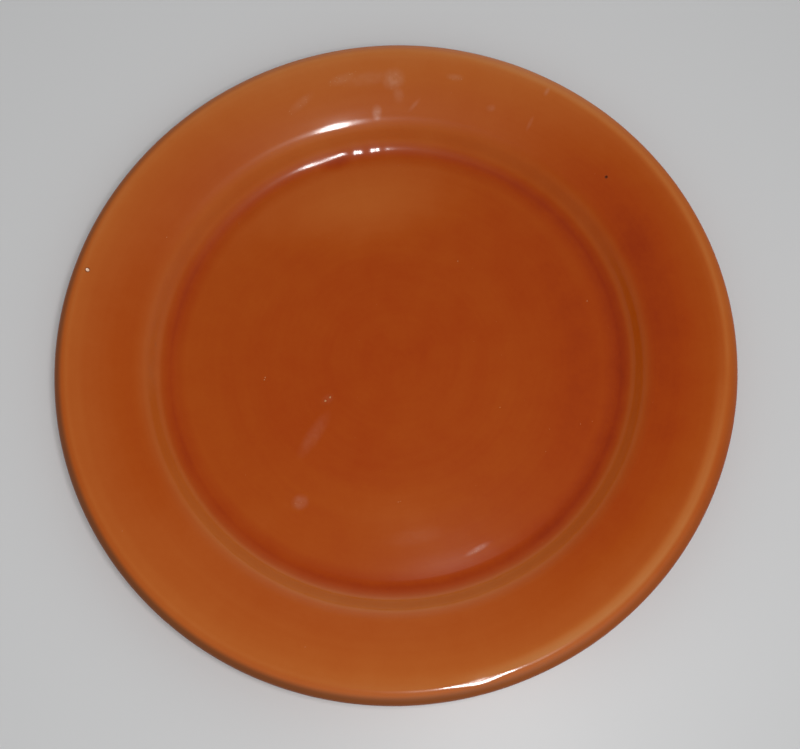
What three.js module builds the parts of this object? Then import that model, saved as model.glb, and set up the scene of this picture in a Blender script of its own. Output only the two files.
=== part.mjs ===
// A round dinner plate of glazed pottery, in millimetres, +Z up. It is one solid of revolution about Z, and
// it stands on its foot ring at z = 0 with its origin at the centre of the ring.
import * as THREE from "three";
import { mergeVertices } from "three/addons/utils/BufferGeometryUtils.js";

// Driving dimensions. A radius is measured from the plate's axis, and a height from the surface it stands on.
const PLATE_RADIUS = 130;
const PLATE_HEIGHT = 23;

const LIP_WIDTH = 4.6; // from the highest point of the lip out to its outermost point
const LIP_RISE = 3.0; // from the outermost point up to the highest one
const LIP_DROP = 2.6; // from the outermost point down to the lowest point of the lip

const RIM_SLOPE_OUTSIDE = 12; // degrees, next to the lip
const RIM_BREAK_RADIUS = 112; // where the rim's two slopes meet in one slow curve
const RIM_BREAK_CURVE = 110;

const SHOULDER_RADIUS = 97.6; // where the rim turns down into the well
const SHOULDER_HEIGHT = 15.1;
const SHOULDER_CURVE = 12;

const WELL_RADIUS = 90.8; // where the line of the well's wall meets its floor
const WELL_CURVE = 11;
const FLOOR_HEIGHT = 6.2;

const UNDERSIDE_SLOPE = 13; // degrees, under the rim
const UNDERSIDE_BREAK_RADIUS = 108; // under the shoulder
const UNDERSIDE_CURVE = 24;

const FOOT_OUTER_RADIUS = 90;
const FOOT_WIDTH = 6;
const FOOT_DRAFT = 1.2; // how far each side of the foot leans in towards its flat end
const FOOT_OUTER_HEIGHT = 2.6;
const FOOT_EDGE_CURVE = 0.8;
const BASE_HEIGHT = 1.4; // underside of the floor, inside the foot ring

const SEGMENTS_ROUND = 96;
const ARC_STEP = 13; // degrees turned by each straight piece of a curve
const LIP_STEPS = 11;

const GLAZE_COLOUR = 0x9b4315;

const radians = THREE.MathUtils.degToRad;

// A corner of the section at (radius, height), rounded off with an arc of the given curve radius.
const corner = (radius, height, curve = 0) => ({ at: new THREE.Vector2(radius, height), curve });

// The points of an arc that rounds off corner b on the way from a to c.
function roundedCorner(a, b, c) {
  const back = a.at.clone().sub(b.at).normalize();
  const onward = c.at.clone().sub(b.at).normalize();
  const between = Math.acos(THREE.MathUtils.clamp(back.dot(onward), -1, 1));
  const turned = Math.PI - between;
  const tangent = b.curve * Math.tan(turned / 2);
  const centre = back
    .clone()
    .add(onward)
    .normalize()
    .multiplyScalar(b.curve / Math.sin(between / 2))
    .add(b.at);
  const first = back.multiplyScalar(tangent).add(b.at);
  const turnsLeft = first.clone().sub(centre).cross(onward) > 0;
  const steps = Math.max(2, Math.ceil(turned / radians(ARC_STEP)));
  return Array.from({ length: steps + 1 }, (_, i) =>
    first.clone().rotateAround(centre, ((turnsLeft ? 1 : -1) * turned * i) / steps),
  );
}

// The points of a line through the corners, each of them rounded off where it has a curve.
function roundedLine(corners) {
  return corners.flatMap((b, i) => {
    const a = corners[i - 1];
    const c = corners[i + 1];
    return a && c && b.curve > 0 ? roundedCorner(a, b, c) : [b.at.clone()];
  });
}

// The lip is two quarter ellipses, the upper one LIP_RISE high and the lower one LIP_DROP.
const lipCentre = new THREE.Vector2(PLATE_RADIUS - LIP_WIDTH, PLATE_HEIGHT - LIP_RISE);

function lipPoint(angle) {
  const height = angle > 0 ? LIP_RISE : LIP_DROP;
  return new THREE.Vector2(Math.cos(angle) * LIP_WIDTH, Math.sin(angle) * height).add(lipCentre);
}

// The ellipse angle at which the lip's surface runs at a slope, on its upper or its lower side.
function lipAngle(slope, upper) {
  const normal = upper ? Math.PI / 2 + slope : slope - Math.PI / 2;
  const height = upper ? LIP_RISE : LIP_DROP;
  return Math.atan2(Math.sin(normal) * height, Math.cos(normal) * LIP_WIDTH);
}

// The point at a radius on the line that leaves the lip at a slope.
function inwardFrom(lip, slope, radius) {
  return lip.y - (lip.x - radius) * Math.tan(slope);
}

// The whole section, from the axis under the floor, out round the lip and back to the axis on the floor.
function plateSection() {
  const rimSlope = radians(RIM_SLOPE_OUTSIDE);
  const undersideSlope = radians(UNDERSIDE_SLOPE);
  const lipTopAngle = lipAngle(rimSlope, true);
  const lipUnderAngle = lipAngle(undersideSlope, false);
  const lipTop = lipPoint(lipTopAngle);
  const lipUnder = lipPoint(lipUnderAngle);

  const undersideBreak = inwardFrom(lipUnder, undersideSlope, UNDERSIDE_BREAK_RADIUS);
  const footInnerRadius = FOOT_OUTER_RADIUS - FOOT_WIDTH;
  const underside = roundedLine([
    corner(0, BASE_HEIGHT),
    corner(footInnerRadius - FOOT_DRAFT, BASE_HEIGHT, FOOT_EDGE_CURVE),
    corner(footInnerRadius, 0, FOOT_EDGE_CURVE),
    corner(FOOT_OUTER_RADIUS, 0, FOOT_EDGE_CURVE),
    corner(FOOT_OUTER_RADIUS + FOOT_DRAFT, FOOT_OUTER_HEIGHT, FOOT_EDGE_CURVE),
    corner(UNDERSIDE_BREAK_RADIUS, undersideBreak, UNDERSIDE_CURVE),
    corner(lipUnder.x, lipUnder.y),
  ]);

  const lip = Array.from({ length: LIP_STEPS }, (_, i) =>
    lipPoint(THREE.MathUtils.lerp(lipUnderAngle, lipTopAngle, (i + 1) / LIP_STEPS)),
  );

  const rimBreak = inwardFrom(lipTop, rimSlope, RIM_BREAK_RADIUS);
  const top = roundedLine([
    corner(lipTop.x, lipTop.y),
    corner(RIM_BREAK_RADIUS, rimBreak, RIM_BREAK_CURVE),
    corner(SHOULDER_RADIUS, SHOULDER_HEIGHT, SHOULDER_CURVE),
    corner(WELL_RADIUS, FLOOR_HEIGHT, WELL_CURVE),
    corner(0, FLOOR_HEIGHT),
  ]);

  return [...underside, ...lip, ...top.slice(1)];
}

// The section turned about the axis. LatheGeometry turns about Y, so the result is tipped up onto Z.
function plateGeometry() {
  const turned = new THREE.LatheGeometry(plateSection(), SEGMENTS_ROUND);
  turned.deleteAttribute("normal");
  turned.deleteAttribute("uv");
  const closed = mergeVertices(turned.rotateX(Math.PI / 2));
  closed.computeVertexNormals();
  return closed;
}

const plate = new THREE.Mesh(
  plateGeometry(),
  new THREE.MeshStandardMaterial({ color: GLAZE_COLOUR, roughness: 0.12, metalness: 0 }),
);
plate.name = "plate";

const group = new THREE.Group();
group.add(plate);

export default group;
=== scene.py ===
# A glazed pottery dinner plate, used and not washed, standing on a pale table.
# The plate is turned about Z from the same driving dimensions as the CAD solid, which it replaces, and
# carries what that solid leaves out: the uneven glaze, two faults in it, the bare foot and the dirt.
# Lengths are in millimetres, and become metres where they become mesh. The floor, the camera and the
# lamps are in metres. Azimuths in the tables are in degrees, and turn from +X toward +Y.
import math

import bpy
import numpy as np
from mathutils import Matrix, Vector, noise
from mathutils.bvhtree import BVHTree


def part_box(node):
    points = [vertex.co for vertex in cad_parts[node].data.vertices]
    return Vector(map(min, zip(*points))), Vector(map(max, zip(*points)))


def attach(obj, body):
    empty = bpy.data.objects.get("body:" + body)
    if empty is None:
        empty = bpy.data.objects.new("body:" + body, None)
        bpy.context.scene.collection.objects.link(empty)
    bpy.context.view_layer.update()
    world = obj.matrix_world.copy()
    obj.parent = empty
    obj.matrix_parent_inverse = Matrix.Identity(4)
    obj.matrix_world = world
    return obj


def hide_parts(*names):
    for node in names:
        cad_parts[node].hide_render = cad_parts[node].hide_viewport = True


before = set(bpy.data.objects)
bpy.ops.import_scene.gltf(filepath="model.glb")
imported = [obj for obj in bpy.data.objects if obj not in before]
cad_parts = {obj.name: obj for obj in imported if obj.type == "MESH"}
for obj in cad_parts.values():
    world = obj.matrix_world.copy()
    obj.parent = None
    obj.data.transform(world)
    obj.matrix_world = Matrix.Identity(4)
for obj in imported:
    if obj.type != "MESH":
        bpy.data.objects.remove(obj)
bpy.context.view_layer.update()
_, plate_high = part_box("plate")

MM = 0.001
PLATE_RADIUS = plate_high.x / MM
PLATE_HEIGHT = plate_high.z / MM

# Section of the plate: radius from the axis and height above the table, in mm, and slopes in degrees.
LIP_WIDTH = 4.6
LIP_RISE = 3.0
LIP_DROP = 2.6
RIM_SLOPE_OUTSIDE = 12
RIM_BREAK_RADIUS = 112
RIM_BREAK_CURVE = 110
SHOULDER_RADIUS = 97.6
SHOULDER_HEIGHT = 15.1
SHOULDER_CURVE = 12
WELL_RADIUS = 90.8
WELL_CURVE = 11
FLOOR_HEIGHT = 6.2
UNDERSIDE_SLOPE = 13
UNDERSIDE_BREAK_RADIUS = 108
UNDERSIDE_CURVE = 24
FOOT_OUTER_RADIUS = 90
FOOT_WIDTH = 6
FOOT_DRAFT = 1.2
FOOT_OUTER_HEIGHT = 2.6
FOOT_EDGE_CURVE = 0.8
BASE_HEIGHT = 1.4

# Fineness of the mesh.
COLUMNS = 640
ROW_SPACING = 2.3
UNDERSIDE_ROW_SPACING = 4.5
ARC_STEP = 2.5
LIP_STEPS = 34
FAULT_REACH = 2.6  # how far the finer mesh reaches, in radii of the hole
FAULT_LINES = 8  # finer rows and columns on each side of a fault
FAULT_CLEARANCE = 1.03  # how far ordinary rows and columns stay from it, in reaches

# How the made surface differs from the section.
INSET = 0.05  # how far it stays inside the CAD solid, above the foot
FOOT_HEIGHTS = (1.0, 4.0)  # heights over which the inset and the waves set in
TOP_FACES_UP = 0.2  # least upward part of the normal on the top
WARP_RADII = (92, 124)  # radii over which the warp of the rim sets in
WARP_HEIGHT = 0.12
WARP_WAVES = ((2, 1.0, 0.6), (3, 0.5, 2.1), (5, 0.3, 0.0))  # (waves in a turn, share, phase in radians)
GLAZE_WAVES = ((0.05, 0.035), (0.16, 0.012))  # (fineness per mm, height)
RING_RADII = ((2, 12), (80, 87))  # where the throwing rings begin and end
RING_HEIGHT = 0.007
RING_WAVES = ((1.35, 1.0, 1.0), (2.3, 0.7, 1.3))  # (mm for each radian, share, how much of the drift)
RING_DRIFT = (0.7, 1.0)  # how far the rings wander in a turn and where, in radians

# Faults in the glaze: (radius, azimuth, radius of the hole, depth).
PIT = (123.5, 164.8, 0.62, 0.22)
PINHOLE = (110.1, 40.2, 0.42, 0.5)
FAULTS = (PIT, PINHOLE)
HOLE_SIDE = (0.25, 1.15)  # where the side of the hole rises, in radii of the hole
HOLE_BRIM = (1.35, 0.3, 0.07)  # its brim: place and width in radii of the hole, height in depths

# Waves where the glaze sagged down the wall and set in the corner of the well.
SAG_AZIMUTHS = ((91.5, 94.5), (101.0, 103.5))
SAG_RADII = ((86, 89), (92, 95))
SAG_START = 95.3  # azimuth of one rising side of the waves
SAG_SPACING = 4.7
SAG_HEIGHT = 0.07

# Worn or uneven places on the curves: (radius, azimuth, reach across, reach along in degrees, lift).
UNEVEN_SPOTS = (
    (99.6, 103.2, 2.4, 9.0, -0.43),
    (90.9, 110.8, 1.6, 3.2, 0.17),
    (91.0, 98.0, 2.0, 4.2, 0.22),
    (90.9, 104.0, 1.2, 1.2, -0.08),
    (124.9, 284.6, 1.25, 2.1, -0.21),
    (124.9, 278.8, 1.2, 1.9, 0.07),
    (124.9, 290.3, 1.2, 1.9, 0.07),
)


# ---------------------------------------------------------------- section of the plate


def rounded_corner(before, at, after, curve):
    """Points of the arc that rounds off a corner."""
    back = (before - at).normalized()
    onward = (after - at).normalized()
    opening = math.acos(max(-1.0, min(1.0, back.dot(onward))))
    turned = math.pi - opening
    centre = at + (back + onward).normalized() * (curve / math.sin(opening / 2))
    arm = at + back * (curve * math.tan(turned / 2)) - centre
    side = 1 if arm.x * onward.y - arm.y * onward.x > 0 else -1
    steps = max(3, math.ceil(math.degrees(turned) / ARC_STEP))
    return [centre + Matrix.Rotation(side * turned * i / steps, 2) @ arm for i in range(steps + 1)]


def rounded_line(corners, spacing):
    """A line through (radius, height, curve) corners, rounded off, with no gap over the spacing."""
    places = [Vector(corner[:2]) for corner in corners]
    line = [places[0]]
    for i in range(1, len(corners)):
        is_end = i == len(corners) - 1
        arc = [places[i]] if is_end else rounded_corner(*places[i - 1 : i + 2], corners[i][2])
        start, gap = line[-1], arc[0] - line[-1]
        pieces = max(1, math.ceil(gap.length / spacing))
        line += [start + gap * k / pieces for k in range(1, pieces)]
        line += arc
    return line


def lip_point(angle):
    """The point of the lip's ellipse at an angle, which is zero at its outermost point."""
    height = LIP_RISE if angle > 0 else LIP_DROP
    centre = Vector((PLATE_RADIUS - LIP_WIDTH, PLATE_HEIGHT - LIP_RISE))
    return centre + Vector((math.cos(angle) * LIP_WIDTH, math.sin(angle) * height))


def lip_angle(slope, upper):
    """The ellipse angle at which the lip's surface runs at a slope, on its upper or its lower side."""
    normal = math.pi / 2 + slope if upper else slope - math.pi / 2
    height = LIP_RISE if upper else LIP_DROP
    return math.atan2(math.sin(normal) * height, math.cos(normal) * LIP_WIDTH)


def plate_section():
    """Points from the axis under the floor, out round the lip, and back to the axis on the floor."""
    rim_slope = math.radians(RIM_SLOPE_OUTSIDE)
    under_slope = math.radians(UNDERSIDE_SLOPE)
    top_angle = lip_angle(rim_slope, True)
    under_angle = lip_angle(under_slope, False)
    lip_top = lip_point(top_angle)
    lip_under = lip_point(under_angle)
    under_break = lip_under.y - (lip_under.x - UNDERSIDE_BREAK_RADIUS) * math.tan(under_slope)
    rim_break = lip_top.y - (lip_top.x - RIM_BREAK_RADIUS) * math.tan(rim_slope)
    foot_inner = FOOT_OUTER_RADIUS - FOOT_WIDTH
    underside = [
        (0, BASE_HEIGHT, 0),
        (foot_inner - FOOT_DRAFT, BASE_HEIGHT, FOOT_EDGE_CURVE),
        (foot_inner, 0, FOOT_EDGE_CURVE),
        (FOOT_OUTER_RADIUS, 0, FOOT_EDGE_CURVE),
        (FOOT_OUTER_RADIUS + FOOT_DRAFT, FOOT_OUTER_HEIGHT, FOOT_EDGE_CURVE),
        (UNDERSIDE_BREAK_RADIUS, under_break, UNDERSIDE_CURVE),
        (lip_under.x, lip_under.y, 0),
    ]
    top = [
        (lip_top.x, lip_top.y, 0),
        (RIM_BREAK_RADIUS, rim_break, RIM_BREAK_CURVE),
        (SHOULDER_RADIUS, SHOULDER_HEIGHT, SHOULDER_CURVE),
        (WELL_RADIUS, FLOOR_HEIGHT, WELL_CURVE),
        (0, FLOOR_HEIGHT, 0),
    ]
    lip = [lip_point(turn) for turn in np.linspace(under_angle, top_angle, LIP_STEPS + 1)[1:]]
    line = rounded_line(underside, UNDERSIDE_ROW_SPACING) + lip + rounded_line(top, ROW_SPACING)[1:]
    return np.array(line)


def with_finer_lines(values, places, reaches):
    """The values, with evenly spaced finer ones within reach of each place."""
    steps = np.arange(-FAULT_LINES, FAULT_LINES + 1) / FAULT_LINES
    faults = list(zip(places, reaches))
    kept = [v for v in values if all(abs(v - p) > r * FAULT_CLEARANCE for p, r in faults)]
    finer = [p + r * step for p, r in faults for step in steps]
    return np.sort(np.array(kept + finer))


def refined_section():
    """The section's points and outward normals, with finer rows across each fault."""
    line = plate_section()
    along = np.concatenate([[0], np.cumsum(np.hypot(*np.diff(line, axis=0).T))])
    top = int(np.argmax(line[:, 1]))
    inward = slice(None, top - 1, -1)
    places = [np.interp(radius, line[inward, 0], along[inward]) for radius, _, _, _ in FAULTS]
    rows = with_finer_lines(along, places, [hole * FAULT_REACH for _, _, hole, _ in FAULTS])
    points = np.stack([np.interp(rows, along, line[:, axis]) for axis in (0, 1)], 1)
    tangent = np.gradient(points, rows, axis=0)
    normals = np.stack([tangent[:, 1], -tangent[:, 0]], 1)
    return points, normals / np.linalg.norm(normals, axis=1)[:, None]


# ---------------------------------------------------------------- the plate's mesh


def smoothstep(low, high, value):
    t = np.clip((value - low) / (high - low), 0, 1)
    return t * t * (3 - 2 * t)


def between(rising, falling, value):
    """One from the end of the rising stretch to the start of the falling one, zero outside both."""
    return smoothstep(*rising, value) * (1 - smoothstep(*falling, value))


def warp(azimuth):
    """How far the rim has sunk in the kiln, in mm. It never rises."""
    waves = sum(share * (np.sin(count * azimuth + phase) - 1) for count, share, phase in WARP_WAVES)
    return WARP_HEIGHT * waves


def throwing_rings(radius, azimuth):
    """The faint rings that the potter's tool left in the well, in mm."""
    wander, phase = RING_DRIFT
    drift = wander * np.sin(azimuth + phase)
    rings = sum(share * np.sin(radius / spacing + part * drift) for spacing, share, part in RING_WAVES)
    return RING_HEIGHT * rings * between(*RING_RADII, radius)


def glaze_waves(places):
    """The slow waves in the glaze, in mm."""
    return np.array([sum(noise.noise(p * fine) * high for fine, high in GLAZE_WAVES) for p in places])


def sagged_glaze(radius, azimuth):
    """The sagged glaze in the corner of the well, in mm."""
    turn = np.degrees(azimuth)
    window = between(*SAG_AZIMUTHS, turn) * between(*SAG_RADII, radius)
    return SAG_HEIGHT * window * np.sin(2 * math.pi * (turn - SAG_START) / SAG_SPACING)


def uneven_spots(radius, azimuth):
    """The lift of the worn or uneven places, in mm."""
    lift = np.zeros_like(radius)
    turn = np.degrees(azimuth)
    for at_radius, at_turn, across, along, height in UNEVEN_SPOTS:
        away = ((radius - at_radius) / across) ** 2 + ((turn - at_turn) / along) ** 2
        lift += height * np.exp(-away / 2)
    return lift


def fault_depth(radius, azimuth):
    """How deep the faults are, in mm, with a low brim round each."""
    depth = np.zeros_like(radius)
    brim_place, brim_width, brim_height = HOLE_BRIM
    for at_radius, at_azimuth, hole, deep in FAULTS:
        turn = (azimuth - math.radians(at_azimuth) + math.pi) % (2 * math.pi) - math.pi
        away = np.hypot(radius - at_radius, turn * at_radius) / hole
        brim = brim_height * np.exp(-(((away - brim_place) / brim_width) ** 2))
        depth += deep * (1 - smoothstep(*HOLE_SIDE, away)) - brim * deep
    return depth


def plate_surface():
    """Points of the plate in mm, in rows out from the axis underneath and back to it on top."""
    section, normals = refined_section()
    section, normals = section[1:-1], normals[1:-1]
    even = np.degrees(np.arange(COLUMNS) * 2 * math.pi / COLUMNS)
    reaches = [math.degrees(hole * FAULT_REACH / radius) for radius, _, hole, _ in FAULTS]
    azimuths = np.radians(with_finer_lines(even, [azimuth for _, azimuth, _, _ in FAULTS], reaches))
    radius, azimuth = np.meshgrid(section[:, 0], azimuths, indexing="ij")
    height = np.repeat(section[:, 1:2], len(azimuths), 1)
    normal_out = np.repeat(normals[:, 0:1], len(azimuths), 1)
    normal_up = np.repeat(normals[:, 1:2], len(azimuths), 1)

    flat = np.stack([radius * np.cos(azimuth), radius * np.sin(azimuth), height], -1).reshape(-1, 3)
    waves = glaze_waves([Vector(p) for p in flat]).reshape(radius.shape)
    on_top = normal_up > TOP_FACES_UP
    shaped = sum(shape(radius, azimuth) for shape in (throwing_rings, sagged_glaze, uneven_spots))
    lift = (waves - INSET) * smoothstep(*FOOT_HEIGHTS, height)
    lift += np.where(on_top, shaped - fault_depth(radius, azimuth), 0)
    sunk = warp(azimuth) * smoothstep(*WARP_RADII, radius)
    radius = radius + normal_out * lift
    height = height + normal_up * lift + sunk
    return np.stack([radius * np.cos(azimuth), radius * np.sin(azimuth), height], -1)


def plate_mesh():
    grid = plate_surface()
    rows, columns, _ = grid.shape
    middles = [(0, 0, BASE_HEIGHT), (0, 0, FLOOR_HEIGHT - INSET)]
    vertices = np.vstack([grid.reshape(-1, 3), middles]) * MM
    under, over = rows * columns, rows * columns + 1
    ahead = [(a, (a + 1) % columns) for a in range(columns)]
    faces = [(under, b, a) for a, b in ahead]
    for row in range(rows - 1):
        low, high = row * columns, (row + 1) * columns
        faces += [(low + a, low + b, high + b, high + a) for a, b in ahead]
    last = (rows - 1) * columns
    faces += [(last + a, last + b, over) for a, b in ahead]
    return smooth_mesh("glazed_plate", vertices.tolist(), faces)


def smooth_mesh(name, vertices, faces):
    mesh = bpy.data.meshes.new(name)
    mesh.from_pydata(vertices, [], faces)
    mesh.shade_smooth()
    return mesh


# ---------------------------------------------------------------- dried specks

# Groups of dried specks: (x, y, length, width, turn in degrees, how many, size of the largest).
SPECKS = (
    (-21, 114.4, 18, 4.5, 16, 16, 0.50),
    (-38, 104.5, 14, 2.5, 42, 7, 0.50),
    (0, 114.5, 11, 9, 0, 6, 0.35),
    (24.6, 114.6, 7, 2.5, -10, 6, 0.50),
    (-50.9, -6.9, 0.5, 3.0, 0, 2, 0.60),
    (-27.0, -16.6, 0.4, 0.4, 0, 1, 1.10),
    (-25.1, -15.0, 0.4, 0.4, 0, 1, 1.00),
    (-35.7, -56.2, 5.5, 4, 20, 3, 0.36),
    (32, -73.7, 11, 1.6, 29, 5, 0.42),
    (25.3, 41.0, 0.2, 0.2, 0, 1, 0.62),
    (76.5, 23.8, 0.2, 0.2, 0, 1, 0.55),
    (41.2, -19.2, 0.3, 0.3, 0, 1, 0.50),
    (66, -30, 26, 12, 20, 4, 0.50),
    (2.1, -56.2, 2, 2, 0, 2, 0.45),
    (-90.3, 48, 0.2, 0.2, 0, 1, 0.40),
    (-98.9, -68.9, 0.2, 0.2, 0, 1, 0.40),
    (-30.8, -109.9, 0.2, 0.2, 0, 1, 0.40),
    (0, 0, 230, 230, 0, 30, 0.24),
)
SPECK_SEED = 11
SPECK_SIZES = (0.45, 1.0)  # smallest and largest in a group of three or more, as shares of its largest
SPECK_STRETCH = (0.65, 1.0)
SPECK_EDGE = (0.75, 1.0)
SPECK_SIDES = 9
SPECK_RINGS = ((1.0, -0.10), (0.86, 0.12), (0.5, 0.24))  # (reach, height) for a radius of one
SPECK_TOP = 0.28


def speck_shape(rng, size):
    """Vertices and faces of one low, uneven dome about its own origin, in mm."""
    stretch = rng.uniform(*SPECK_STRETCH)
    turn = rng.uniform(0, math.pi)
    edge = rng.uniform(*SPECK_EDGE, SPECK_SIDES)
    vertices, faces = [], []
    for reach, height in SPECK_RINGS:
        for side in range(SPECK_SIDES):
            around = 2 * math.pi * side / SPECK_SIDES
            x = math.cos(around) * edge[side] * reach
            y = math.sin(around) * edge[side] * reach * stretch
            across = Vector((x, y)) @ Matrix.Rotation(turn, 2)
            vertices.append(Vector((across.x, across.y, height)) * size / 2)
    vertices.append(Vector((0, 0, SPECK_TOP)) * size / 2)
    ahead = [(side, (side + 1) % SPECK_SIDES) for side in range(SPECK_SIDES)]
    last = (len(SPECK_RINGS) - 1) * SPECK_SIDES
    for first in range(0, last, SPECK_SIDES):
        above = first + SPECK_SIDES
        faces += [(first + a, first + b, above + b, above + a) for a, b in ahead]
    faces += [(last + a, last + b, len(vertices) - 1) for a, b in ahead]
    faces.append(tuple(reversed(range(SPECK_SIDES))))
    return vertices, faces


def specks_mesh(mesh):
    """All the specks, dropped onto the plate's mesh from above."""
    corners = [vertex.co for vertex in mesh.vertices]
    surface = BVHTree.FromPolygons(corners, [tuple(face.vertices) for face in mesh.polygons])
    rng = np.random.default_rng(SPECK_SEED)
    vertices, faces = [], []
    for x, y, length, width, turn, count, largest in SPECKS:
        for _ in range(count):
            spread = math.sqrt(rng.uniform()) / 2
            around = rng.uniform(0, 2 * math.pi)
            along = Vector((math.cos(around) * spread * length, math.sin(around) * spread * width))
            along.rotate(Matrix.Rotation(math.radians(turn), 2))
            size = largest * (rng.uniform(*SPECK_SIZES) if count > 2 else 1.0)
            above = Vector((x + along.x, y + along.y, 2 * PLATE_HEIGHT)) * MM
            place, normal, _, _ = surface.ray_cast(above, Vector((0, 0, -1)))
            tilt = Vector((0, 0, 1)).rotation_difference(normal).to_matrix()
            shape, sides = speck_shape(rng, size)
            first = len(vertices)
            vertices += [place + tilt @ (point * MM) for point in shape]
            faces += [tuple(first + corner for corner in side) for side in sides]
    return smooth_mesh("dried_specks", vertices, faces)


def add_object(name, mesh, material):
    piece = bpy.data.objects.new(name, mesh)
    bpy.context.scene.collection.objects.link(piece)
    mesh.materials.append(material)
    return piece


# ---------------------------------------------------------------- shader nodes

NOISE_SPAN = (0.25, 0.75)  # the values that most of a noise texture lies between
DEEP = 1000  # half the depth of an oval, which takes in the whole height of the plate


class Nodes:
    """A node tree, whose nodes are added and joined by short calls that each give back a socket."""

    def __init__(self, tree):
        self.tree = tree

    def feed(self, socket, value):
        if isinstance(value, bpy.types.NodeSocket):
            self.tree.links.new(value, socket)
        else:
            socket.default_value = value

    def add(self, kind, inputs, output=0, **settings):
        node = self.tree.nodes.new(kind)
        for setting, value in settings.items():
            setattr(node, setting, value)
        for name, value in inputs.items():
            self.feed(node.inputs[name], value)
        return node.outputs[output]

    def calculate(self, operation, first, second):
        return self.add("ShaderNodeMath", {0: first, 1: second}, operation=operation)

    def sum(self, first, *others):
        for other in others:
            first = self.calculate("ADD", first, other)
        return first

    def times(self, first, *others):
        for other in others:
            first = self.calculate("MULTIPLY", first, other)
        return first

    def larger(self, first, second):
        return self.calculate("MAXIMUM", first, second)

    def rise(self, value, low, high, start=0.0, end=1.0):
        """A smooth step from the start to the end, as the value goes from low to high."""
        inputs = {"Value": value, "From Min": low, "From Max": high, "To Min": start, "To Max": end}
        return self.add("ShaderNodeMapRange", inputs, interpolation_type="SMOOTHSTEP")

    def band(self, value, rising, falling):
        """One from the end of the rising stretch to the start of the falling one, zero outside both."""
        return self.times(self.rise(value, *rising), self.rise(value, *falling, 1.0, 0.0))

    def noise(self, place, size, strength, detail=2.0):
        """Noise about zero whose lumps are about a size across."""
        value = self.add("ShaderNodeTexNoise", {"Vector": place, "Scale": 1 / size, "Detail": detail})
        low, high = NOISE_SPAN
        inputs = {"Value": value, "From Min": low, "From Max": high}
        inputs.update({"To Min": -strength, "To Max": strength})
        return self.add("ShaderNodeMapRange", inputs, clamp=False)

    def vector(self, operation, first, second, output=0):
        return self.add("ShaderNodeVectorMath", {0: first, 1: second}, output=output, operation=operation)

    def length(self, vector):
        return self.add("ShaderNodeVectorMath", {0: vector}, output="Value", operation="LENGTH")

    def toward(self, direction, azimuth, elevation=0):
        """The cosine of the angle between a direction and an azimuth and elevation in degrees."""
        turn, up = math.radians(azimuth), math.radians(elevation)
        aim = (math.cos(up) * math.cos(turn), math.cos(up) * math.sin(turn), math.sin(up))
        return self.vector("DOT_PRODUCT", direction, aim, output="Value")

    def axis(self, vector, letter):
        return self.add("ShaderNodeSeparateXYZ", {0: vector}, output=letter)

    def coordinates(self, kind):
        return self.add("ShaderNodeTexCoord", {}, output=kind)

    def ramp(self, value, stops):
        """A colour read off the stops (value, colour), which run up from zero."""
        span = stops[-1][0]
        node = self.tree.nodes.new("ShaderNodeValToRGB")
        elements = node.color_ramp.elements
        while len(elements) < len(stops):
            elements.new(0.5)
        for element, (at, _) in zip(elements, stops):
            element.position = at / span
        for element, (_, colour) in zip(elements, stops):
            element.color = (*colour, 1)
        self.feed(node.inputs["Fac"], self.times(value, 1 / span))
        return node.outputs["Color"]

    def curve(self, value, points):
        """A number read off the points (value, result), which run up from zero."""
        grey = self.ramp(value, [(at, (result, result, result)) for at, result in points])
        return self.add("ShaderNodeSeparateColor", {"Color": grey})

    def mix(self, amount, under, over):
        """The colour under another, covered by an amount of it."""
        inputs = {"Factor": amount, 6: under, 7: over}
        return self.add("ShaderNodeMix", inputs, output=2, data_type="RGBA")

    def spot(self, place, x, y, length, width, turn, soft):
        """One in the middle of an oval and zero outside it. Its length is turned from X, in degrees."""
        inputs = {
            "Vector": place,
            "Location": (x, y, 0),
            "Rotation": (0, 0, math.radians(turn)),
            "Scale": (length / 2, width / 2, DEEP),
        }
        local = self.add("ShaderNodeMapping", inputs, vector_type="TEXTURE")
        return self.rise(self.length(local), 1 - soft, 1, 1.0, 0.0)


class Look(Nodes):
    """The nodes of one material, which end in its shader."""

    def __init__(self, name):
        self.material = bpy.data.materials.new(name)
        self.material.use_nodes = True
        super().__init__(self.material.node_tree)
        self.shader = self.tree.nodes["Principled BSDF"]

    def finish(self, colour, roughness, shine):
        self.feed(self.shader.inputs["Base Color"], colour)
        self.feed(self.shader.inputs["Roughness"], roughness)
        self.feed(self.shader.inputs["Specular IOR Level"], shine)
        return self.material


# ---------------------------------------------------------------- the glaze and what is on it

GLAZE_SHINE = 0.2
SMOOTH_GLAZE = 0.12  # roughness of the clean glaze
FACING_UP = (-0.1, 0.25)  # upward part of the normal where the underside turns into the top

# Colour of the glaze by its thinness: from a thick dark pool to a thin skin over the clay.
THICKEST_TO_THINNEST = (
    (0.01, (0.120, 0.012, 0.004)),
    (0.022, (0.255, 0.023, 0.002)),
    (0.035, (0.340, 0.034, 0.001)),
    (0.050, (0.400, 0.051, 0.001)),
    (0.070, (0.435, 0.071, 0.003)),
    (0.090, (0.465, 0.090, 0.009)),
    (0.120, (0.505, 0.120, 0.017)),
    (0.160, (0.545, 0.165, 0.036)),
    (0.200, (0.570, 0.215, 0.065)),
)

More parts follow.
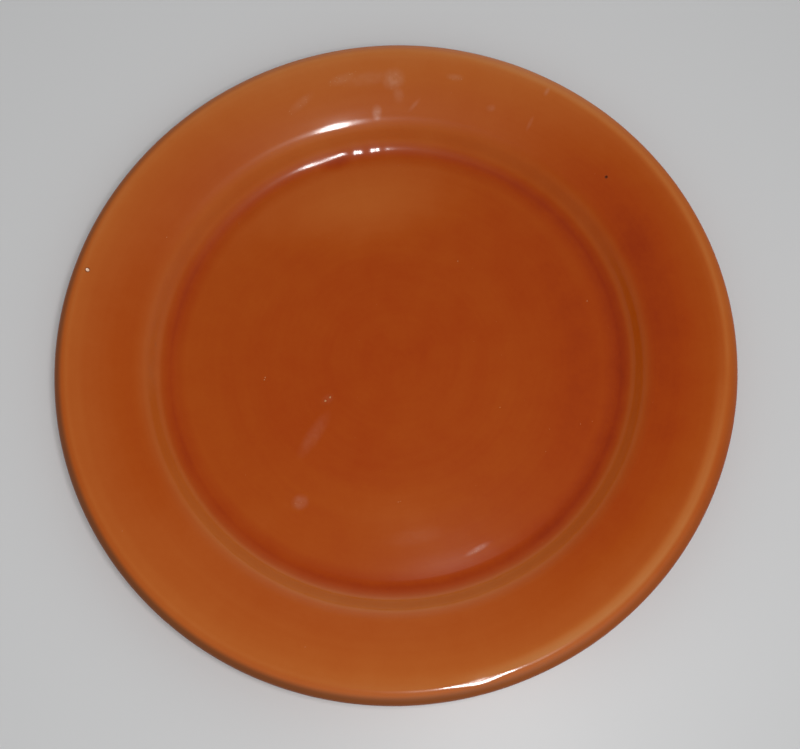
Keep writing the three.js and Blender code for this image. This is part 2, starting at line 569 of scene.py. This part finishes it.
# Thinness of the glaze on the top, by radius. It runs off each crest and pools in the corner of the well.
THINNESS_BY_RADIUS = (
    (0, 0.053),
    (35, 0.0555),
    (55, 0.060),
    (72, 0.063),
    (82, 0.067),
    (86.2, 0.052),
    (88.6, 0.042),
    (90.4, 0.053),
    (92.4, 0.076),
    (96, 0.082),
    (98.0, 0.088),
    (99.6, 0.075),
    (101.5, 0.0685),
    (105, 0.071),
    (112, 0.080),
    (119, 0.096),
    (122, 0.108),
    (124.0, 0.120),
    (125.2, 0.134),
    (126.4, 0.114),
    (128.5, 0.107),
    (131, 0.092),
)

# Ovals drawn lighter, or darker for a gain below zero:
# (x, y, length, width, turn in degrees, softness, gain).
THINNESS_AND_SHEEN_PATCHES = (
    (-24.5, 83.5, 17, 8, 16, 0.8, -0.020),
    # painted sheen over the back of the well, with some dried film
    (-13, 68, 112, 56, 10, 0.95, 0.040),
    (-58, 58, 46, 26, 45, 0.95, 0.010),
    (-74, -74, 84, 30, -45, 0.95, 0.010),
    (73, -73, 76, 26, 45, 0.95, -0.009),
    (0, -60, 100, 40, 0, 0.95, 0.009),
)

# Bands of radii: (where the band sets in, where it ends). The outer ones run on past the lip.
PAST_LIP = (140, 150)
WELL_CORNER = ((76, 86), (89, 92))
WELL_EDGE = ((56, 84), (89, 92))
WALL = ((91.2, 93), (96.4, 98.4))
WHOLE_RIM = ((95, 103), PAST_LIP)
CREST = ((120.5, 123.4), (124.2, 126))
OUTER_RIM = ((120, 124), PAST_LIP)
LIP = ((123.8, 125.8), PAST_LIP)

# Stretches of a band drawn lighter, or darker for a gain below zero, some of them painted light and
# shade:
# (band, azimuth of the middle, cosines of the angle from it at the ends and where it is whole, gain).
THINNESS_AND_LIGHT_STRETCHES = (
    (WELL_EDGE, -58, (0.2, 1.0), -0.0075),
    (WALL, 168, (0.5, 1.0), -0.009),
    # painted light: the rim drawn lighter at the back
    (WHOLE_RIM, 88, (0.65, 1.0), 0.021),
    # partly a painted highlight: the crest drawn lighter at the front right, toward the lamp
    (CREST, -42, (0.72, 0.98), 0.050),
    # painted shade: the outer rim drawn darker at the front left, away from the light
    (OUTER_RIM, 222, (0.35, 0.9), -0.016),
    # painted light: the lip drawn lighter on the right, which faces the light
    (LIP, 34, (0.55, 0.95), 0.036),
)
WALL_THIN_AND_LIT = 0.026  # the wall is drawn lighter all along, partly thin glaze and partly painted light, and lightest at the front, partly painted reflection: (azimuth where it is darkest, gain there)
WALL_LIT_TURN = (75, -0.013)  # and thinnest at the front: (azimuth where it is thickest, gain there)

# The glaze is drawn darkest on the right, and lighter at the front and back than at the sides, partly as
# thicker
# glaze and partly as painted shade: (azimuth, gain there), the second on both sides, and a gain all
# round.
THICK_AND_SHADED_RIGHT = (12, -0.015)
THICK_AND_SHADED_SIDES = (7, -0.031)
THIN_ALL_ROUND = 0.0145
SIDES_IN_WELL = (40, 75)  # radii over which half of this sets in
SIDES_ON_WALL = (91, 97)  # radii over which the other half does
SIDES_IN_CORNER = -0.25  # and what it loses in the corner of the well
SIDES_UNDERNEATH = 0.5

# The pale crest of the rim lies farther out at the back than at the front.
CREST_AZIMUTH = 72
CREST_RADII = (118, 122)
CREST_SHIFT = -1.2

# Thinness underneath, out along the rim, and how much thicker it is down on the foot.
UNDERSIDE = (96, 124, 0.058, 0.095)  # (radii, thinness at both)
FOOT = (0.6, 3.2, -0.03, 0.0)  # (heights, gain at both)

# Rings from the wheel and cloudy patches: (size, gain) and (size, gain, detail).
RINGS = ((1.6, 0.0018), (5.5, 0.0028))
RING_TURN = 2.4  # radius of the circle round which the noise of the rings is read
CLOUDS = ((34, 0.0050, 2.0), (9, 0.0038, 3.0), (2.0, 0.0020, 2.0))

# Painted shade on the outer side of the lip, most of it on the left and at the front, away from the
# light.
LIP_SHADE_RADII = (126.0, 128.2)
LIP_SHADE_AZIMUTH = 220
LIP_SHADE_COVER = 0.36  # how much of the colour it hides a quarter turn from its azimuth,
LIP_SHADE_TURN = 0.38  # and how much more at its azimuth
LIP_SHADE_COLOUR = (0.115, 0.050, 0.020, 1)

# Dried film and smears on the top: (x, y, length, width, turn in degrees, strength).
SMEARS = (
    (-0.5, 114.5, 12, 11, 10, 0.95),
    (1.5, 108.5, 6, 9, 10, 0.45),
    (-11, 114.8, 30, 8, 8, 0.35),
    (-21, 114.4, 15, 6, 16, 0.55),
    (-38, 104.5, 16, 5, 42, 0.4),
    (-7.2, 101.8, 5.5, 7.5, 0, 0.8),
    (8, 104.3, 9, 2.4, 46, 0.45),
    (24.6, 114.6, 9, 4, -10, 0.45),
    (39, 101.8, 5, 4, 0, 0.45),
    (54.6, 94.8, 2.2, 8, -28, 0.35),
    (61.4, 107.1, 2.6, 5, -30, 0.7),
    (-26, -15.8, 7, 5, 35, 0.2),
    (-31, -30, 26, 7.5, 58, 0.3),
    (-35.7, -56.2, 8.5, 7.5, 20, 0.6),
    (32, -73.7, 14, 3.0, 29, 0.4),
    (8, -69, 30, 9, 10, 0.1),
)
SMEAR_SOFTNESS = 0.85
SMEAR_GRAIN = (2.2, 0.5, 4.0)  # (size, strength, detail)
SMEAR_WEAKEST = 0.5  # what the grain leaves of a smear where it is weakest
DRIED_FILM = (0.70, 0.47, 0.33, 1)
FILM_COVER = 0.22  # how much of the glaze's colour the thickest film hides
FILM_ROUGHNESS = 0.25  # what it adds to the roughness

# The faults: a dark ring of painted shade in and round each hole, in radii of the hole, and bare clay in
# the pit, lightened by a painted glint.
HOLE_SHADE_SIZE = 4.0
HOLE_SHADE_SOFTNESS = 0.6
HOLE_SHADE_COLOUR = (0.12, 0.024, 0.006, 1)
PIT_CLAY_SIZE = (2.7, 2.1)
PIT_CLAY_TURN = -35
PIT_CLAY_SOFTNESS = 0.3
PIT_CLAY_AND_GLINT = (1.0, 0.70, 0.50, 1)

# Bare clay where the foot stands.
CLAY = (0.56, 0.43, 0.31, 1)
DARK_CLAY = (0.40, 0.29, 0.20, 1)
DARK_CLAY_SHARE = 0.4
CLAY_GRAIN = (1.1, 0.25, 4.0)  # (size, strength, detail)
CLAY_EDGE = (0.42, 0.62)  # heights where the glaze begins
CLAY_EDGE_WAVES = (3.0, 0.16, 3.0)  # (size, height, detail)
CLAY_ROUGHNESS = 0.7  # what it adds to the roughness

# Fine relief of the glaze: (size, height).
GLAZE_RELIEF = (0.9, 0.0012)
RELIEF_STRENGTH = 0.5


class PlateSurface:
    """Where a point of the plate is, as sockets in mm, and whether it is on top."""

    def __init__(self, look):
        self.place = look.vector("MULTIPLY", look.coordinates("Object"), (1 / MM, 1 / MM, 1 / MM))
        flat = look.vector("MULTIPLY", self.place, (1, 1, 0))
        self.radius = look.length(flat)
        self.outward = look.add("ShaderNodeVectorMath", {0: flat}, operation="NORMALIZE")
        self.height = look.axis(self.place, "Z")
        self.on_top = look.rise(look.axis(look.coordinates("Normal"), "Z"), *FACING_UP)


def turning_gain(look, at, turn):
    """A gain that swings from its value at an azimuth, through zero, to the opposite across from it."""
    azimuth, gain = turn
    return look.times(look.toward(at.outward, azimuth), gain)


def side_gain(look, at):
    """How the colour differs between the sides and the front and back, partly thicker glaze and partly
    painted shade.
    """
    azimuth, gain = THICK_AND_SHADED_SIDES
    side = look.toward(at.outward, azimuth)
    turning = look.sum(turning_gain(look, at, THICK_AND_SHADED_RIGHT), look.times(side, side, gain), THIN_ALL_ROUND)
    well, wall = (look.rise(at.radius, *radii, 0.0, 0.5) for radii in (SIDES_IN_WELL, SIDES_ON_WALL))
    reach = look.sum(well, wall, look.times(look.band(at.radius, *WELL_CORNER), SIDES_IN_CORNER))
    return look.times(turning, reach)


def local_gains(look, at):
    """The gains of the patches, of the stretches and of the wall."""
    gains = [look.times(look.spot(at.place, *oval), gain) for *oval, gain in THINNESS_AND_SHEEN_PATCHES]
    for band, azimuth, cosines, gain in THINNESS_AND_LIGHT_STRETCHES:
        stretch = look.rise(look.toward(at.outward, azimuth), *cosines)
        gains.append(look.times(stretch, look.band(at.radius, *band), gain))
    wall = look.sum(turning_gain(look, at, WALL_LIT_TURN), WALL_THIN_AND_LIT)
    gains.append(look.times(look.band(at.radius, *WALL), wall))
    return gains


def rings_and_clouds(look, at):
    turned = [look.times(look.axis(at.outward, letter), RING_TURN) for letter in "XY"]
    ringed = look.add("ShaderNodeCombineXYZ", {"X": at.radius, "Y": turned[0], "Z": turned[1]})
    rings = [look.noise(ringed, *ring) for ring in RINGS]
    return rings + [look.noise(at.place, *cloud) for cloud in CLOUDS]


# Thinness of the glaze, with painted light and shade carried in its side, wall, patch and stretch gains.
def thinness_and_painted_light(look, at):
    sides = side_gain(look, at)
    shift = look.rise(at.radius, *CREST_RADII, 0.0, CREST_SHIFT)
    shift = look.times(look.toward(at.outward, CREST_AZIMUTH), shift)
    over = look.curve(look.sum(at.radius, shift), THINNESS_BY_RADIUS)
    over = look.sum(over, sides, *local_gains(look, at))
    under = look.sum(look.rise(at.radius, *UNDERSIDE), look.rise(at.height, *FOOT))
    under = look.sum(under, look.times(sides, SIDES_UNDERNEATH))
    either = look.add("ShaderNodeMix", {0: at.on_top, 2: under, 3: over})
    return look.sum(either, *rings_and_clouds(look, at))


# Darkens the outer side of the lip with painted shade.
def with_lip_shade(look, at, colour):
    turning = look.sum(look.times(look.toward(at.outward, LIP_SHADE_AZIMUTH), LIP_SHADE_TURN), LIP_SHADE_COVER)
    lip_shade = look.times(look.rise(at.radius, *LIP_SHADE_RADII), turning, at.on_top)
    return look.mix(look.larger(lip_shade, 0), colour, LIP_SHADE_COLOUR)


def dried_film(look, at):
    """How thick the dried film is: zero where the plate is clean."""
    film = 0.0
    for *oval, strength in SMEARS:
        film = look.larger(film, look.times(look.spot(at.place, *oval, SMEAR_SOFTNESS), strength))
    _, swing, _ = SMEAR_GRAIN
    patchy = look.rise(look.noise(at.place, *SMEAR_GRAIN), -swing, swing, SMEAR_WEAKEST, 1.0)
    return look.times(film, patchy, at.on_top)


def fault_spot(look, at, fault, sizes, turn, soft):
    """An oval on a fault, with its length and width in radii of the hole."""
    radius, azimuth, hole, _ = fault
    around = math.radians(azimuth)
    x, y = radius * math.cos(around), radius * math.sin(around)
    return look.times(look.spot(at.place, x, y, sizes[0] * hole, sizes[1] * hole, turn, soft), at.on_top)


# Painted shade in and round each hole, and a painted glint on the pit's bare clay.
def with_faults(look, at, colour):
    for fault in FAULTS:
        hole_shade = fault_spot(look, at, fault, (HOLE_SHADE_SIZE, HOLE_SHADE_SIZE), 0, HOLE_SHADE_SOFTNESS)
        colour = look.mix(hole_shade, colour, HOLE_SHADE_COLOUR)
    clay = fault_spot(look, at, PIT, PIT_CLAY_SIZE, PIT_CLAY_TURN, PIT_CLAY_SOFTNESS)
    return look.mix(clay, colour, PIT_CLAY_AND_GLINT)


def glaze_material():
    look = Look("orange_glaze")
    at = PlateSurface(look)
    colour = look.ramp(thinness_and_painted_light(look, at), THICKEST_TO_THINNEST)
    colour = with_lip_shade(look, at, colour)
    film = dried_film(look, at)
    colour = look.mix(look.times(film, FILM_COVER), colour, DRIED_FILM)
    colour = with_faults(look, at, colour)

    edge = look.noise(at.place, *CLAY_EDGE_WAVES)
    bare_foot = look.rise(look.sum(at.height, edge), *CLAY_EDGE, 1.0, 0.0)
    grain = look.sum(look.noise(at.place, *CLAY_GRAIN), DARK_CLAY_SHARE)
    colour = look.mix(bare_foot, colour, look.mix(grain, CLAY, DARK_CLAY))

    added = look.sum(look.times(film, FILM_ROUGHNESS), look.times(bare_foot, CLAY_ROUGHNESS))
    relief = {"Height": look.noise(at.place, *GLAZE_RELIEF), "Distance": MM, "Strength": RELIEF_STRENGTH}
    look.feed(look.shader.inputs["Normal"], look.add("ShaderNodeBump", relief))
    return look.finish(colour, look.sum(added, SMOOTH_GLAZE), GLAZE_SHINE)


def plain_material(name, colour, roughness, shine):
    return Look(name).finish(colour, roughness, shine)


# ---------------------------------------------------------------- the object

plate = add_object("glazed_plate", plate_mesh(), glaze_material())
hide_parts("plate")
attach(plate, "root")

dried_food = plain_material("dried_food", (0.56, 0.27, 0.11, 1), roughness=0.55, shine=GLAZE_SHINE)
specks = add_object("dried_specks", specks_mesh(plate.data), dried_food)
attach(specks, "root")

# ---------------------------------------------------------------- table, light and camera

FLOOR_REACH = 2
floor_corners = [(x * FLOOR_REACH, y * FLOOR_REACH, 0) for x, y in ((-1, -1), (1, -1), (1, 1), (-1, 1))]
floor_mesh = bpy.data.meshes.new("table_top")
floor_mesh.from_pydata(floor_corners, [], [(0, 1, 2, 3)])
pale_table = plain_material("pale_table", (0.735, 0.74, 0.745, 1), roughness=0.42, shine=0.35)
floor = add_object("table_top", floor_mesh, pale_table)

CAMERA_AIM = Vector((0.0024, -0.0070, 0.010))
CAMERA_DISTANCE = 0.420
CAMERA_ELEVATION = math.radians(75.59)
CAMERA_AZIMUTH = math.radians(6.53)
FOCAL_LENGTH = 48.64


def place_camera():
    data = bpy.data.cameras.new("camera")
    data.lens = FOCAL_LENGTH
    data.sensor_width = 36
    data.clip_start = 0.01
    camera = bpy.data.objects.new("camera", data)
    bpy.context.scene.collection.objects.link(camera)
    tilt = Matrix.Rotation(math.pi / 2 - CAMERA_ELEVATION, 4, "X")
    turn = Matrix.Rotation(CAMERA_AZIMUTH, 4, "Z") @ tilt
    roll = Matrix.Rotation(-CAMERA_AZIMUTH, 4, "Z")
    back = turn @ Vector((0, 0, CAMERA_DISTANCE))
    camera.matrix_world = Matrix.Translation(CAMERA_AIM + back) @ turn @ roll
    bpy.context.scene.camera = camera


def area_light(name, place, width, length, power):
    """A lamp that shines at the origin."""
    data = bpy.data.lights.new(name, "AREA")
    data.shape = "RECTANGLE"
    data.size = width
    data.size_y = length
    data.energy = power
    light = bpy.data.objects.new(name, data)
    light.location = place
    light.rotation_euler = (-Vector(place)).to_track_quat("-Z", "Y").to_euler()
    bpy.context.scene.collection.objects.link(light)
    return light


def place_lamps():
    """A small lamp, and one just behind it that only reflections see, which widens the glints."""
    area_light("flash", (0.045, -0.111, 0.417), width=0.046, length=0.050, power=0.50)
    glare = area_light("flash_glare", (0.045, -0.111, 0.419), width=0.034, length=0.074, power=0.8)
    glare.visible_diffuse = False


# Soft light from round the room: (azimuth, elevation in degrees, tightness, strength).
EVEN_LIGHT = 0.27
SOFT_LIGHTS = (
    (292, 59, 12, 1.35),
    (90, 12, 8, 0.85),
    (0, 12, 10, 0.25),
    (180, 12, 10, 0.12),
)


def room_light():
    world = bpy.data.worlds.new("room")
    world.use_nodes = True
    nodes = Nodes(world.node_tree)
    view = nodes.coordinates("Generated")
    total = EVEN_LIGHT
    for azimuth, elevation, tightness, strength in SOFT_LIGHTS:
        away = nodes.calculate("SUBTRACT", nodes.toward(view, azimuth, elevation), 1.0)
        glow = nodes.calculate("POWER", math.e, nodes.times(away, tightness))
        total = nodes.sum(nodes.times(glow, strength), total)
    background = world.node_tree.nodes["Background"]
    nodes.feed(background.inputs["Strength"], total)
    nodes.feed(background.inputs["Color"], (1, 1, 1, 1))
    bpy.context.scene.world = world


place_camera()
place_lamps()
room_light()
bpy.context.scene.view_settings.view_transform = "Standard"
